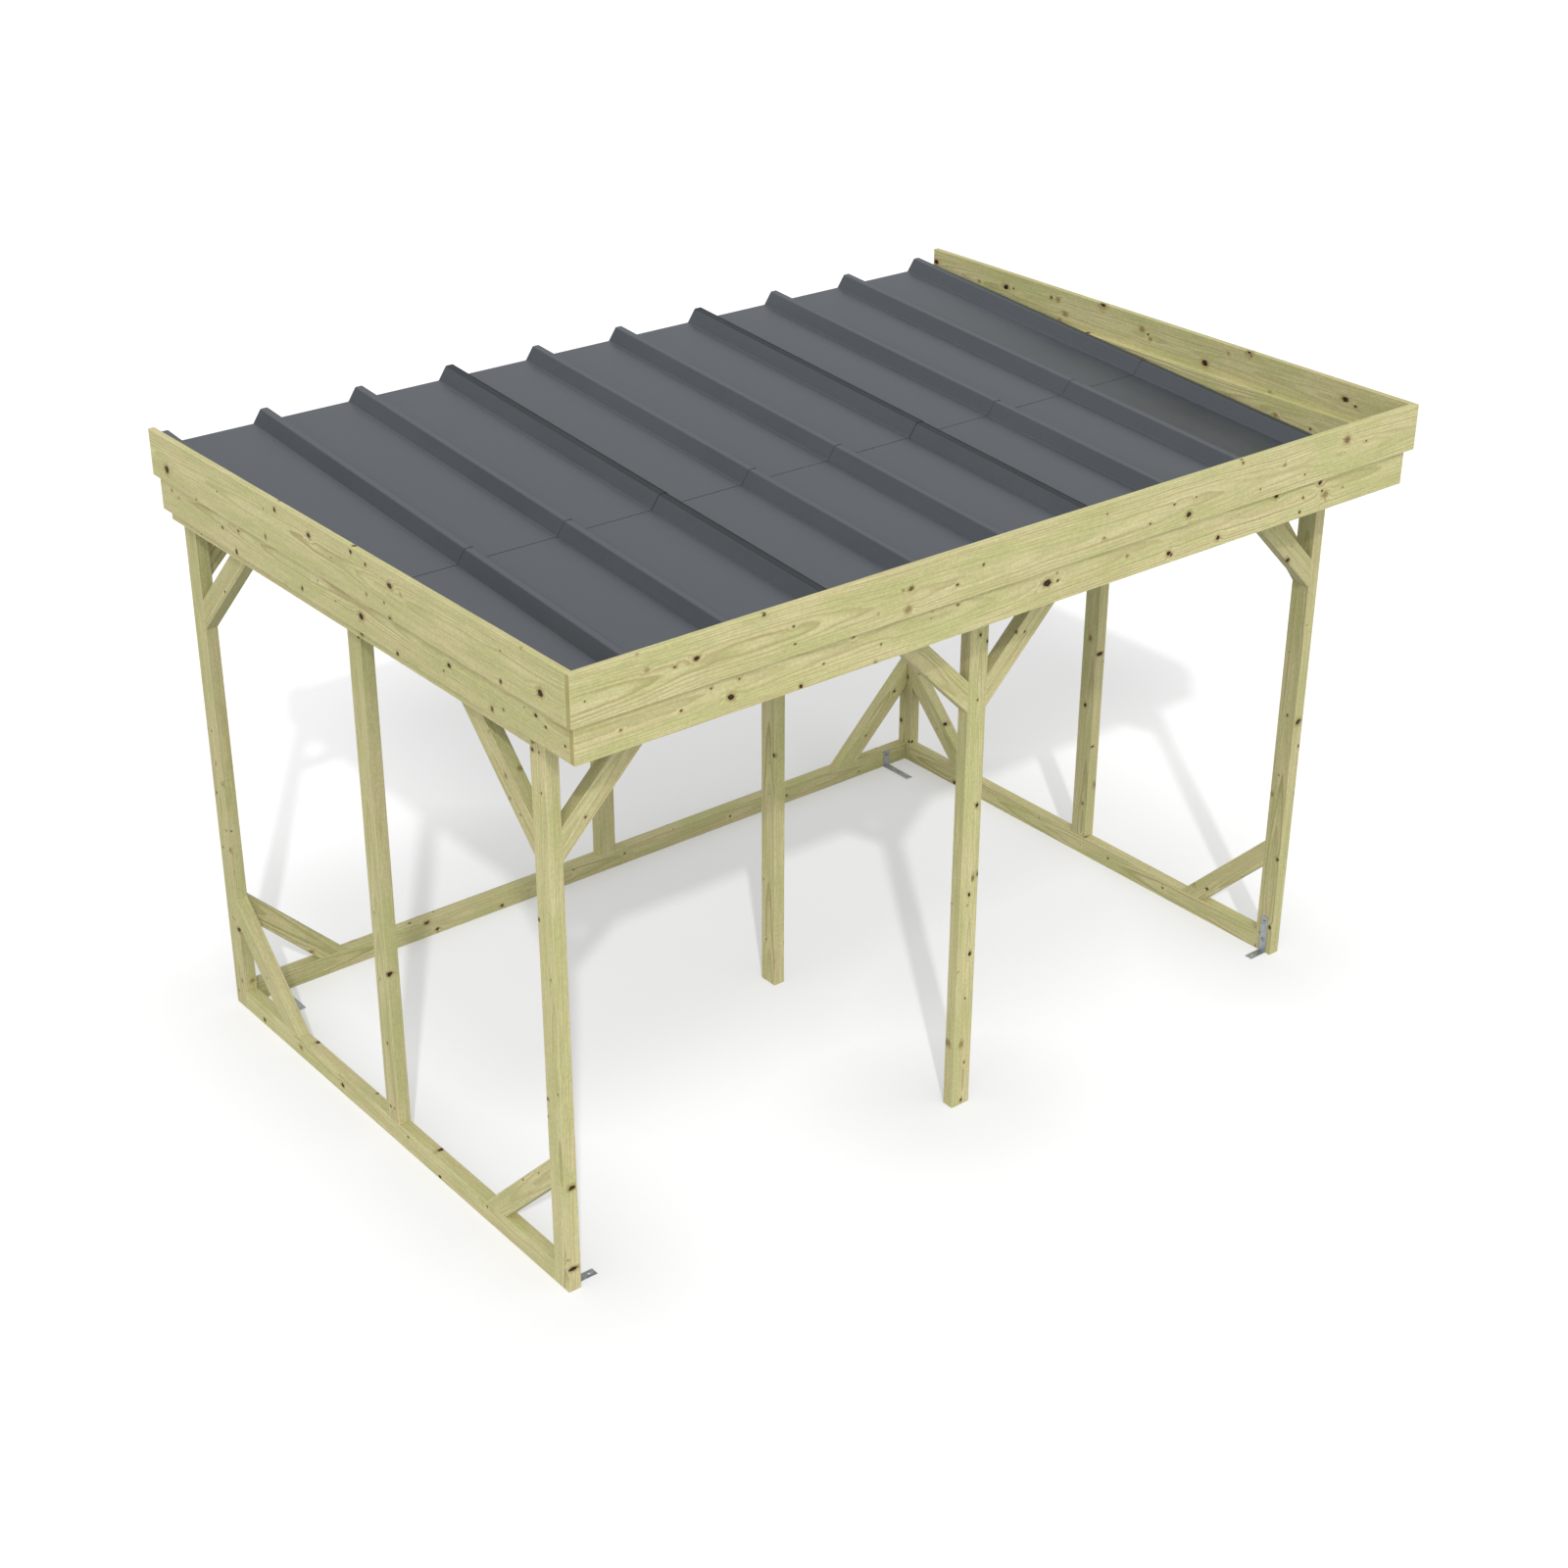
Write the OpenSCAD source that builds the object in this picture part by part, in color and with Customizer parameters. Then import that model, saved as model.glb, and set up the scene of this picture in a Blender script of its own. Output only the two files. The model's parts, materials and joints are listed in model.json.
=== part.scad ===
// Lean-to firewood shelter: nine timber posts on three sills, braced corners, a lapped board
// fascia on three sides and a ribbed steel roof that falls from the open back to the front.
// Millimetres. +X runs along the open front, +Y to the back, +Z up. The origin is on the
// ground, under the middle of the whole outline.

/* [Overall size] */
// Width over the outer faces of the corner posts
frame_w = 2975; // [2700:5:3600]
// Depth over the front and back faces of the corner posts
frame_d = 1958; // [1500:1:2400]
// Height of the fascia's top edge
fascia_top_z = 2038; // [1800:1:2500]

/* [Posts] */
// Narrow side of a post
post_t = 42; // [38:1:70]
// Wide side of a post
post_w = 70; // [60:1:95]
// Front face of the corner posts to the front face of the three middle posts
mid_post_setback = 911; // [700:1:1100]

/* [Sills] */
// Height of the ground sills
sill_h = 70; // [60:1:120]

/* [Braces] */
// Thickness of a brace
brace_t = 42; // [30:1:42]
// Width of a brace
brace_w = 70; // [45:1:80]
// Corner to the outer edge of a brace, along each piece it joins
brace_leg = 354; // [250:1:400]
// The same for the braces under the side rails
side_knee_leg = 429; // [300:1:480]

/* [Roof frame] */
// Thickness of the side rails and purlins
rail_t = 42; // [38:1:60]
// Height of the side rails
rail_h = 70; // [60:1:80]
// Underside of the side rails
rail_z = 1743; // [1500:1:2200]
// Rail tops to the sheets' underside at the front posts, less than zero inside the outer ribs
rail_clear = -9; // [-12:1:20]
// Height of the purlins
purlin_h = 70; // [60:1:120]

/* [Fascia boards] */
// Thickness of a fascia board
board_t = 20; // [15:1:27]
// Height of a fascia board
board_h = 145; // [120:1:175]
// How far the upper board laps over the lower one
board_lap = 32; // [25:1:60]
// Front face of the corner posts to the outer face of the front fascia
front_overhang = 247; // [150:1:350]
// Back face of the corner posts to the back ends of the side fascia boards, inwards
fascia_back_inset = 6; // [0:1:60]
// Back ends of the side boards to the back ends of the side rails, inwards
rail_back_inset = 9; // [0:1:40]

/* [Roof sheets] */
// Steel thickness
sheet_t = 0.6; // [0.5:0.1:1]
// Gap between the skins where one sheet laps over another
sheet_gap = 0.2; // [0.1:0.05:0.5]
// Outer face of a corner post to the middle of the outermost rib
rib_outside = 12.5; // [0:0.5:14]
// Rib spacing aimed for; the spacing drawn is the nearest that divides the roof evenly
rib_spacing = 333; // [250:1:400]
// Height of a rib
rib_h = 43; // [25:1:50]
// Width of a rib at its foot
rib_foot = 77; // [60:1:90]
// Width of a rib across its top
rib_top = 24; // [16:1:40]
// Fall of the roof from back to front, in degrees
roof_fall = 4.45; // [3:0.05:7]
// Gap between the outer sheets' edges and the side boards
edge_clear = 0.7; // [0.3:0.1:3]
// How far the sheets pass the back posts
sheet_back_overhang = 37; // [10:1:80]
// Length of the lap between the back and the front sheets
end_lap = 140; // [100:5:250]
// Lower edge of the back sheets in front of the middle posts
lap_reach = 70; // [40:5:120]
// How far a covering sheet's edge turns down the side of the rib
lap_lip = 10; // [6:1:16]
// How far that edge stands off the rib
lap_kick = 3; // [0.5:0.5:5]

/* [Ground brackets] */
// Width of the bracket strip
bracket_w = 28; // [20:1:40]
// Thickness of the bracket strip
bracket_t = 2.5; // [2:0.5:4]
// Long leg of a bracket
bracket_long = 140; // [100:5:180]
// Short leg of a bracket
bracket_short = 70; // [45:5:80]
// Diameter of the holes
bracket_hole_d = 8; // [5:0.5:10]
// Outer face of a corner post to the middle of a back bracket
back_bracket_x = 142; // [100:1:200]

/* [Hidden] */
$fn = 32;

seat = 0.3;                                   // working gap between pieces that bear on each other
front_clear = 1.6;                            // gap between the ribs and the front boards
notch_clear = 4;                              // gap from the back sheets to the lips in front
hole_edge = 20;                               // end of a bracket's leg to the middle of a hole
cut = 1;                                      // how far a drill runs past what it cuts
post_x = frame_w / 2;                         // outer faces of the corner posts
whole_d = front_overhang + frame_d + sheet_back_overhang;
front_y = front_overhang - whole_d / 2;       // front faces of the front posts
back_y = front_y + frame_d;                   // back faces of the back posts
mid_y = front_y + mid_post_setback;           // front faces of the middle posts

sheets_across = 3;
first_rib_x = -post_x - rib_outside;
sheet_cover = -2 * first_rib_x / sheets_across;
ribs_per_sheet = round(sheet_cover / rib_spacing);
rib_pitch = sheet_cover / ribs_per_sheet;
skin = sheet_t + sheet_gap;
rib_run = (rib_foot - rib_top) / 2;
flank = atan(rib_run / rib_h);                // lean of a rib's side from upright
row_lift = skin;                              // how far the back row rides above the front row

fascia_y = front_y - front_overhang;          // outer face of the front fascia
fascia_back_y = back_y - fascia_back_inset;
lower_board_x = post_x + rail_t + board_t;    // outer faces of the lower side boards
upper_board_x = lower_board_x + board_t;
upper_board_z = fascia_top_z - board_h;
lower_board_z = upper_board_z + board_lap - board_h;

// Height of the sheets' underside above the ground at a given y
front_pan_z = rail_z + rail_h + rail_clear;
function pan_z(y) = front_pan_z + (y - front_y) * tan(roof_fall);

// Each purlin's front edge carries the sheets
purlin_mid_y = mid_y + (post_w - rail_t) / 2;
purlin_back_y = back_y - rail_t;
purlin_front_top = pan_z(front_y) - seat;
purlin_mid_top = pan_z(purlin_mid_y) - seat;
purlin_back_top = pan_z(purlin_back_y) + row_lift - seat;
front_post_h = purlin_front_top - purlin_h;
mid_post_h = purlin_mid_top - purlin_h;
back_post_h = purlin_back_top - purlin_h;

pine = "#cbc894";
steel = "#5d666e";
zinc = "#8d9398";

module timber(size, at) {
    color(pine) translate(at) cube(size);
}

// A post with its lowest corner at x, y, z
module post(x, y, z, top, along_x) {
    size = along_x ? [post_w, post_t, top - z] : [post_t, post_w, top - z];
    timber(size, [x, y, z]);
}

module post_front_left() { post(-post_x, front_y, 0, front_post_h, false); }
module post_front_middle() { post(-post_w / 2, front_y, 0, front_post_h, true); }
module post_front_right() { post(post_x - post_t, front_y, 0, front_post_h, false); }
module post_side_left() { post(-post_x, mid_y, sill_h, mid_post_h, false); }
module post_centre() { post(-post_t / 2, mid_y, 0, mid_post_h, false); }
module post_side_right() { post(post_x - post_t, mid_y, sill_h, mid_post_h, false); }
module post_back_left() { post(-post_x, back_y - post_w, 0, back_post_h, false); }
module post_back_middle() { post(-post_w / 2, back_y - post_t, sill_h, back_post_h, true); }
module post_back_right() { post(post_x - post_t, back_y - post_w, 0, back_post_h, false); }

// Sills lie on the ground between the corner posts
module side_sill(x) {
    timber([post_t, frame_d - 2 * post_w, sill_h], [x, front_y + post_w, 0]);
}
module sill_left() { side_sill(-post_x); }
module sill_right() { side_sill(post_x - post_t); }
module sill_back() {
    timber([frame_w - 2 * post_t, post_t, sill_h], [-post_x + post_t, back_y - post_t, 0]);
}

// A mitred brace in the corner of the first quadrant: both ends are cut at 45 degrees to lie
// flat on the two pieces it joins, and the outline is drawn in the plane of the frame
module brace_outline(leg) {
    inner = leg - brace_w * sqrt(2);
    polygon([[0, inner], [0, leg], [leg, 0], [inner, 0]]);
}

// Brace in a plane across the front or back: corner at x, z; sx and sz say which way it opens
module brace_x(x, y, z, sx, sz) {
    color(pine) translate([x, y + brace_t, z]) mirror([sx < 0 ? 1 : 0, 0, 0])
        mirror([0, 0, sz < 0 ? 1 : 0]) rotate([90, 0, 0])
        linear_extrude(brace_t) brace_outline(brace_leg);
}

// Brace in a plane along a side: corner at y, z
module brace_y(x, y, z, sy, sz, leg) {
    color(pine) translate([x, y, z]) mirror([0, sy < 0 ? 1 : 0, 0])
        mirror([0, 0, sz < 0 ? 1 : 0]) rotate([90, 0, 90])
        linear_extrude(brace_t) brace_outline(leg);
}

module foot_braces_side(x) {
    brace_y(x, front_y + post_w, sill_h, 1, 1, brace_leg);
    brace_y(x, back_y - post_w, sill_h, -1, 1, brace_leg);
}
module foot_braces_left() { foot_braces_side(-post_x); }
module foot_braces_right() { foot_braces_side(post_x - brace_t); }
module foot_braces_back() {
    brace_x(-post_x + post_t, back_y - post_t, sill_h, 1, 1);
    brace_x(post_x - post_t, back_y - post_t, sill_h, -1, 1);
}

// Front knee braces rise from the posts to the underside of the front purlin
module knee_front_left() { brace_x(-post_x + post_t, front_y, front_post_h, 1, -1); }
module knee_front_middle_left() { brace_x(-post_w / 2, front_y, front_post_h, -1, -1); }
module knee_front_middle_right() { brace_x(post_w / 2, front_y, front_post_h, 1, -1); }
module knee_front_right() { brace_x(post_x - post_t, front_y, front_post_h, -1, -1); }

// The back has the same four
module knee_braces_back() {
    for (side = [-1, 1]) {
        brace_x(side * (post_x - post_t), back_y - post_t, back_post_h, -side, -1);
        brace_x(side * post_w / 2, back_y - post_t, back_post_h, side, -1);
    }
}

// Side knee braces lie against the inner face of the side rails, and stop level with their tops
side_knee_z = rail_z + rail_h;
module side_knee_front(x) { brace_y(x, front_y + post_w, side_knee_z, 1, -1, side_knee_leg); }
module side_knee_back(x) { brace_y(x, back_y - post_w, side_knee_z, -1, -1, side_knee_leg); }
module knee_left_front() { side_knee_front(-post_x); }
module knee_left_back() { side_knee_back(-post_x); }
module knee_right_front() { side_knee_front(post_x - brace_t); }
module knee_right_back() { side_knee_back(post_x - brace_t); }

// Side rails run outside the posts
module side_rail(x) {
    timber([rail_t, fascia_back_y - rail_back_inset - front_y, rail_h], [x, front_y, rail_z]);
}
module rail_left() { side_rail(-post_x - rail_t); }
module rail_right() { side_rail(post_x); }

// Purlins cross the tops of the posts
module purlin(y, top) {
    timber([frame_w, rail_t, purlin_h], [-post_x, y, top - purlin_h]);
}
module purlin_front() { purlin(front_y, purlin_front_top); }
module purlin_middle() { purlin(purlin_mid_y, purlin_mid_top); }
module purlin_back() { purlin(purlin_back_y, purlin_back_top); }

// Fascia: the lower boards are nailed to the rails, the upper ones lap over them outside
module fascia_front(x, y, z) { timber([2 * x, board_t, board_h], [-x, y, z]); }
module fascia_front_upper() { fascia_front(upper_board_x, fascia_y, upper_board_z); }
module fascia_front_lower() { fascia_front(lower_board_x, fascia_y + board_t, lower_board_z); }
module fascia_side(x, y, z) { timber([board_t, fascia_back_y - y, board_h], [x, y, z]); }
module fascia_left_upper() { fascia_side(-upper_board_x, fascia_y + board_t, upper_board_z); }
module fascia_left_lower() { fascia_side(-lower_board_x, fascia_y + 2 * board_t, lower_board_z); }
module fascia_right_upper() {
    fascia_side(upper_board_x - board_t, fascia_y + board_t, upper_board_z);
}
module fascia_right_lower() {
    fascia_side(lower_board_x - board_t, fascia_y + 2 * board_t, lower_board_z);
}

// Roof sheets: a folded profile drawn across x, with the pan's underside at zero. At a side lap
// the left-hand sheet's last rib is drawn one skin and a gap larger and covers the right-hand
// sheet's first rib. The back row's ribs are larger again, and nest over those of the front row.
// This is the upper skin of one rib, grown outwards by a given distance.
function rib(x, grow) =
    let (
        foot = rib_foot / 2 + grow / cos(flank),
        top = foot - rib_run * (rib_h + grow) / rib_h
    ) [[x - foot, sheet_t], [x - top, rib_h + sheet_t + grow],
       [x + top, rib_h + sheet_t + grow], [x + foot, sheet_t]];

// Growth of a plain rib, of one that a neighbour covers and of one that covers a neighbour
nest = skin - row_lift * sin(flank);
function plain_grow(row) = row * nest;
function under_grow(row) = row * (skin + nest);
function over_grow(row) = skin + under_grow(row);

// How far up its side the outermost rib is cut, to stay clear of the side boards
edge_x = post_x + rail_t - edge_clear;
function edge_rise(grow) =
    max(skin, (rib_foot / 2 + grow / cos(flank) - first_rib_x - edge_x) * rib_h / rib_run);

// Point on a rib's side, from its foot to its crest, at a height above the foot
function on_side(foot, crest, rise) = foot + (crest - foot) * rise / (crest[1] - foot[1]);

function sheet_line(column, row) =
    let (
        grow = plain_grow(row),
        is_first = column == 0,
        is_last = column == sheets_across - 1,
        first = rib(0, is_first ? grow : under_grow(row)),
        last = rib(ribs_per_sheet * rib_pitch, is_last ? grow : over_grow(row)),
        lip = on_side(last[3], last[2], rib_h - lap_lip) + lap_kick * [cos(flank), sin(flank)]
    ) concat(
        [is_first ? on_side(first[0], first[1], edge_rise(grow)) : first[0]],
        [first[1], first[2], first[3]],
        [for (i = [1 : ribs_per_sheet - 1]) each rib(i * rib_pitch, grow)],
        [last[0], last[1], last[2]],
        [is_last ? on_side(last[3], last[2], edge_rise(grow)) : lip]
    );

// Lower skin at point i, square to both of the folds that meet there
function unit(v) = v / norm(v);
function down(a, b) = let (u = unit(b - a)) [u[1], -u[0]];
function lower_point(line, i) =
    let (
        last = len(line) - 1,
        n1 = i > 0 ? down(line[i - 1], line[i]) : down(line[0], line[1]),
        n2 = i < last ? down(line[i], line[i + 1]) : n1,
        mid = unit(n1 + n2)
    ) line[i] + mid * sheet_t / (mid * n1);

module sheet_profile(column, row) {
    line = sheet_line(column, row);
    polygon(concat(line, [for (i = [len(line) - 1 : -1 : 0]) lower_point(line, i)]));
}

// A sheet from y0 to y1, falling to the front; the front row is 0 and the back row 1
module roof_sheet(column, row, y0, y1) {
    translate([first_rib_x + column * sheet_cover, y1, pan_z(y1) + row * row_lift])
        rotate([90 + roof_fall, 0, 0])
        linear_extrude((y1 - y0) / cos(roof_fall)) sheet_profile(column, row);
}

sheet_front_y = fascia_y + 2 * board_t + front_clear + (rib_h + skin) * sin(roof_fall);
sheet_lap_y = mid_y - lap_reach;
sheet_lap_end_y = sheet_lap_y + end_lap;
sheet_back_y = back_y + sheet_back_overhang;

// A front sheet's lip is cut away where the back row nests over it
module front_sheet(column) {
    color(steel) difference() {
        roof_sheet(column, 0, sheet_front_y, sheet_lap_end_y);
        if (column < sheets_across - 1) lip_notch(first_rib_x + (column + 1) * sheet_cover);
    }
}
module lip_notch(rib_x) {
    y = sheet_lap_y - notch_clear;
    translate([rib_x + rib_top / 2, y, front_pan_z])
        cube([rib_foot, sheet_lap_end_y + rib_h - y, frame_d]);
}
module back_sheet(column) { color(steel) roof_sheet(column, 1, sheet_lap_y, sheet_back_y); }
module roof_sheet_front_left() { front_sheet(0); }
module roof_sheet_front_middle() { front_sheet(1); }
module roof_sheet_front_right() { front_sheet(2); }
module roof_sheet_back_left() { back_sheet(0); }
module roof_sheet_back_middle() { back_sheet(1); }
module roof_sheet_back_right() { back_sheet(2); }

// Ground brackets: a bent strip, its heel at the origin, one leg up and one along +x
module bracket(up, out) {
    color(zinc) difference() {
        union() {
            translate([0, -bracket_w / 2, 0]) cube([bracket_t, bracket_w, up]);
            translate([0, -bracket_w / 2, 0]) cube([out, bracket_w, bracket_t]);
        }
        for (at = bracket_holes(out))
            translate([at, 0, -cut]) bracket_drill();
        for (at = bracket_holes(up))
            translate([-cut, 0, at]) rotate([0, 90, 0]) bracket_drill();
    }
}
module bracket_drill() { cylinder(d = bracket_hole_d, h = bracket_t + 2 * cut); }

// Hole centres along a leg: two in a long leg, one in a short one
function bracket_holes(leg) =
    leg < bracket_long ? [leg - hole_edge] : [hole_edge + bracket_w, leg - hole_edge];

module bracket_front_left() {
    translate([-post_x + post_t, front_y + post_w / 2, 0]) bracket(bracket_long, bracket_short);
}
module bracket_front_right() {
    translate([post_x - post_t, front_y + post_w / 2, 0]) rotate([0, 0, 180])
        bracket(bracket_long, bracket_short);
}
module back_bracket(x) {
    translate([x, back_y - post_t, 0]) rotate([0, 0, -90]) bracket(bracket_short, bracket_long);
}
module bracket_back_left() { back_bracket(-post_x + back_bracket_x); }
module bracket_back_right() { back_bracket(post_x - back_bracket_x); }

post_front_left();
post_front_middle();
post_front_right();
post_side_left();
post_centre();
post_side_right();
post_back_left();
post_back_middle();
post_back_right();
sill_left();
sill_back();
sill_right();
foot_braces_left();
foot_braces_back();
foot_braces_right();
knee_front_left();
knee_front_middle_left();
knee_front_middle_right();
knee_front_right();
knee_braces_back();
knee_left_front();
knee_left_back();
knee_right_front();
knee_right_back();
rail_left();
rail_right();
purlin_front();
purlin_middle();
purlin_back();
fascia_front_upper();
fascia_front_lower();
fascia_left_upper();
fascia_left_lower();
fascia_right_upper();
fascia_right_lower();
roof_sheet_front_left();
roof_sheet_front_middle();
roof_sheet_front_right();
roof_sheet_back_left();
roof_sheet_back_middle();
roof_sheet_back_right();
bracket_front_left();
bracket_front_right();
bracket_back_left();
bracket_back_right();
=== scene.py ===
import json
import math
import random

import bmesh
import bpy
from mathutils import Matrix, Vector


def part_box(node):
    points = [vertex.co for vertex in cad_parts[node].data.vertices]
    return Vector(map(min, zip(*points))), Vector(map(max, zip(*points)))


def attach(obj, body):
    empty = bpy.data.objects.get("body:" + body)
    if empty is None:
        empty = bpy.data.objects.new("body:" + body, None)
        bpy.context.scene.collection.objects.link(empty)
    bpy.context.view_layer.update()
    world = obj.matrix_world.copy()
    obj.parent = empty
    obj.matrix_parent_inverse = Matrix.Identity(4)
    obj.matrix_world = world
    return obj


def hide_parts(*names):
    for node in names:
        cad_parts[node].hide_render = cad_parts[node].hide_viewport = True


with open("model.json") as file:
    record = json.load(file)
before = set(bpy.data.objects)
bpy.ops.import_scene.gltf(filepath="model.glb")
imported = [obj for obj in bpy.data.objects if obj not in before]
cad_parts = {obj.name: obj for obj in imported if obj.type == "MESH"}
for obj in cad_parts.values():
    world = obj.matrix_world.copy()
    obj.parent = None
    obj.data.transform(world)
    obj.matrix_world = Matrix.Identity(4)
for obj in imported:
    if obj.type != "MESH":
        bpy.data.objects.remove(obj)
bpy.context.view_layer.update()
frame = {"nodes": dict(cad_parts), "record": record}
nodes = frame["nodes"]
mm = 0.001


# small helpers for node trees

def addNode(tree, kind, sockets=None, **settings):
    # a socket is given a value, or another node's output to link to
    made = tree.nodes.new("ShaderNode" + kind)
    for key, value in settings.items():
        setattr(made, key, value)
    for key, value in (sockets or {}).items():
        if isinstance(value, bpy.types.NodeSocket):
            tree.links.new(value, made.inputs[key])
        else:
            made.inputs[key].default_value = value
    return made


def maths(tree, operation, *values):
    return addNode(tree, "Math", dict(enumerate(values)), operation=operation).outputs[0]


def vectorMaths(tree, operation, *values):
    return addNode(tree, "VectorMath", dict(enumerate(values)), operation=operation).outputs[0]


def remap(tree, value, low, high, toLow=0.0, toHigh=1.0, smooth=True):
    sockets = {0: value, 1: low, 2: high, 3: toLow, 4: toHigh}
    steps = "SMOOTHSTEP" if smooth else "LINEAR"
    return addNode(tree, "MapRange", sockets, interpolation_type=steps).outputs[0]


def mixColour(tree, share, first, second, blend="MIX"):
    sockets = {0: share, 6: first, 7: second}
    return addNode(tree, "Mix", sockets, data_type="RGBA", blend_type=blend).outputs[2]


def noise(tree, place, scale, detail=2.0, roughness=0.5):
    sockets = {"Vector": place, "Scale": scale, "Detail": detail, "Roughness": roughness}
    return addNode(tree, "TexNoise", sockets).outputs[0]


def stretched(tree, place, along, across):
    return vectorMaths(tree, "MULTIPLY", place, (along, across, across))


def newGroup(name, inputs, outputs):
    group = bpy.data.node_groups.new(name, "ShaderNodeTree")
    kinds = {"vector": "NodeSocketVector", "value": "NodeSocketFloat"}
    for title, kind, default in inputs:
        socket = group.interface.new_socket(title, in_out="INPUT", socket_type=kinds[kind])
        if default is not None:
            socket.default_value = default
    for title, kind in outputs:
        group.interface.new_socket(title, in_out="OUTPUT", socket_type=kinds[kind])
    given = group.nodes.new("NodeGroupInput").outputs
    wanted = group.nodes.new("NodeGroupOutput").inputs
    return group, given, wanted


def useGroup(tree, group, sockets):
    return addNode(tree, "Group", sockets, node_tree=group).outputs


# wood effects: the place runs along the grain in x, and the heart of the log is at y = z = 0

knotLook = {
    "scatter": 0.85, "longer": 0.74,                # how evenly knots lie, and their length along the grain
    "raggedGrain": 95.0, "raggedDepth": 1.35, "raggedBase": 0.33,
    "smallest": 0.35,                               # against the largest
    "core": (0.82, 1.08), "halo": (0.9, 2.4),       # counted in knot radii
    "brown": (0.15, 0.4, 0.3, 1.0),                 # some knots stay brown, most are dark
    "bulge": -0.16,
}


def heartDistance(tree, axes):
    square = maths(tree, "MULTIPLY", axes[1], axes[1])
    return maths(tree, "SQRT", maths(tree, "ADD", square, maths(tree, "MULTIPLY", axes[2], axes[2])))


def makeKnotGroup():
    group, given, wanted = newGroup("branchKnots", [
        ("Place", "vector", None), ("Spacing", "value", 0.25), ("Size", "value", 0.012),
        ("Share", "value", 0.5), ("Turn", "value", 1.2),
    ], [("Core", "value"), ("Halo", "value"), ("Pull", "value")])
    axes = addNode(group, "SeparateXYZ", {0: given["Place"]}).outputs
    angle = maths(group, "ARCTAN2", axes[1], axes[2])
    radius = heartDistance(group, axes)
    cellX = maths(group, "DIVIDE", axes[0], given["Spacing"])
    cellY = maths(group, "MULTIPLY", angle, given["Turn"])
    cell = addNode(group, "CombineXYZ", {0: cellX, 1: cellY}).outputs[0]
    sockets = {"Vector": cell, "Scale": 1.0, "Randomness": knotLook["scatter"]}
    near = addNode(group, "TexVoronoi", sockets, voronoi_dimensions="2D").outputs
    edge = addNode(group, "TexVoronoi", sockets, voronoi_dimensions="2D", feature="DISTANCE_TO_EDGE")
    middle = addNode(group, "SeparateXYZ", {0: near["Position"]}).outputs
    chance = addNode(group, "SeparateColor", {0: near["Color"]}).outputs
    cellLength = maths(group, "MULTIPLY", given["Spacing"], knotLook["longer"])
    alongGrain = maths(group, "MULTIPLY", maths(group, "SUBTRACT", cellX, middle[0]), cellLength)
    aroundHeart = maths(group, "MULTIPLY", maths(group, "SUBTRACT", cellY, middle[1]),
                        maths(group, "DIVIDE", radius, given["Turn"]))
    distance = maths(group, "SQRT", maths(group, "ADD",
        maths(group, "MULTIPLY", alongGrain, alongGrain),
        maths(group, "MULTIPLY", aroundHeart, aroundHeart)))
    outline = noise(group, given["Place"], knotLook["raggedGrain"], 3.0, 0.55)
    ragged = maths(group, "MULTIPLY_ADD", outline, knotLook["raggedDepth"], knotLook["raggedBase"])
    growth = remap(group, chance[1], 0.0, 1.0, knotLook["smallest"], 1.0, smooth=False)
    size = maths(group, "MULTIPLY", given["Size"], growth)
    ratio = maths(group, "DIVIDE", maths(group, "MULTIPLY", distance, ragged), size)
    grows = maths(group, "LESS_THAN", chance[0], given["Share"])
    inside = remap(group, edge.outputs["Distance"], 0.0, 0.12)
    core = remap(group, ratio, *knotLook["core"], 1.0, 0.0)
    halo = remap(group, ratio, *knotLook["halo"], 1.0, 0.0)
    dark = remap(group, chance[2], *knotLook["brown"])
    group.links.new(maths(group, "MULTIPLY", maths(group, "MULTIPLY", core, grows), dark), wanted["Core"])
    fade = maths(group, "MULTIPLY", grows, inside)
    group.links.new(maths(group, "MULTIPLY", halo, fade), wanted["Halo"])
    fall = maths(group, "MULTIPLY", maths(group, "MULTIPLY", ratio, ratio), knotLook["bulge"])
    bulge = maths(group, "EXPONENT", fall)
    group.links.new(maths(group, "MULTIPLY", maths(group, "MULTIPLY", bulge, fade), size), wanted["Pull"])
    return group


ringLook = {
    "wanderAlong": 1.7, "wanderAcross": 5.0, "pull": 1.1,
    "rise": (0.35, 0.88), "fall": (0.9, 1.0),       # the dark late wood within one year
    "faintest": 0.35,
}


def makeRingGroup():
    group, given, wanted = newGroup("growthRings", [
        ("Place", "vector", None), ("Pull", "value", 0.0), ("Spacing", "value", 0.005),
        ("Wander", "value", 0.02), ("Taper", "value", 0.012),
    ], [("Late", "value")])
    axes = addNode(group, "SeparateXYZ", {0: given["Place"]}).outputs
    slowPlace = stretched(group, given["Place"], ringLook["wanderAlong"], ringLook["wanderAcross"])
    slow = noise(group, slowPlace, 1.0, 3.0, 0.45)
    wander = maths(group, "MULTIPLY", maths(group, "SUBTRACT", slow, 0.5), given["Wander"])
    radius = maths(group, "MULTIPLY_ADD", axes[0], given["Taper"], heartDistance(group, axes))
    radius = maths(group, "ADD", maths(group, "ADD", radius, wander),
                   maths(group, "MULTIPLY", given["Pull"], ringLook["pull"]))
    count = maths(group, "DIVIDE", radius, given["Spacing"])
    part = maths(group, "FRACT", count)
    year = maths(group, "FLOOR", count)
    strength = addNode(group, "TexWhiteNoise", {"W": year}, noise_dimensions="1D").outputs["Value"]
    rising = remap(group, part, *ringLook["rise"])
    falling = remap(group, part, *ringLook["fall"], 1.0, 0.0)
    line = maths(group, "MULTIPLY", maths(group, "MULTIPLY", rising, falling),
                 remap(group, strength, 0.0, 1.0, ringLook["faintest"], 1.0))
    group.links.new(line, wanted["Late"])
    return group


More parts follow.
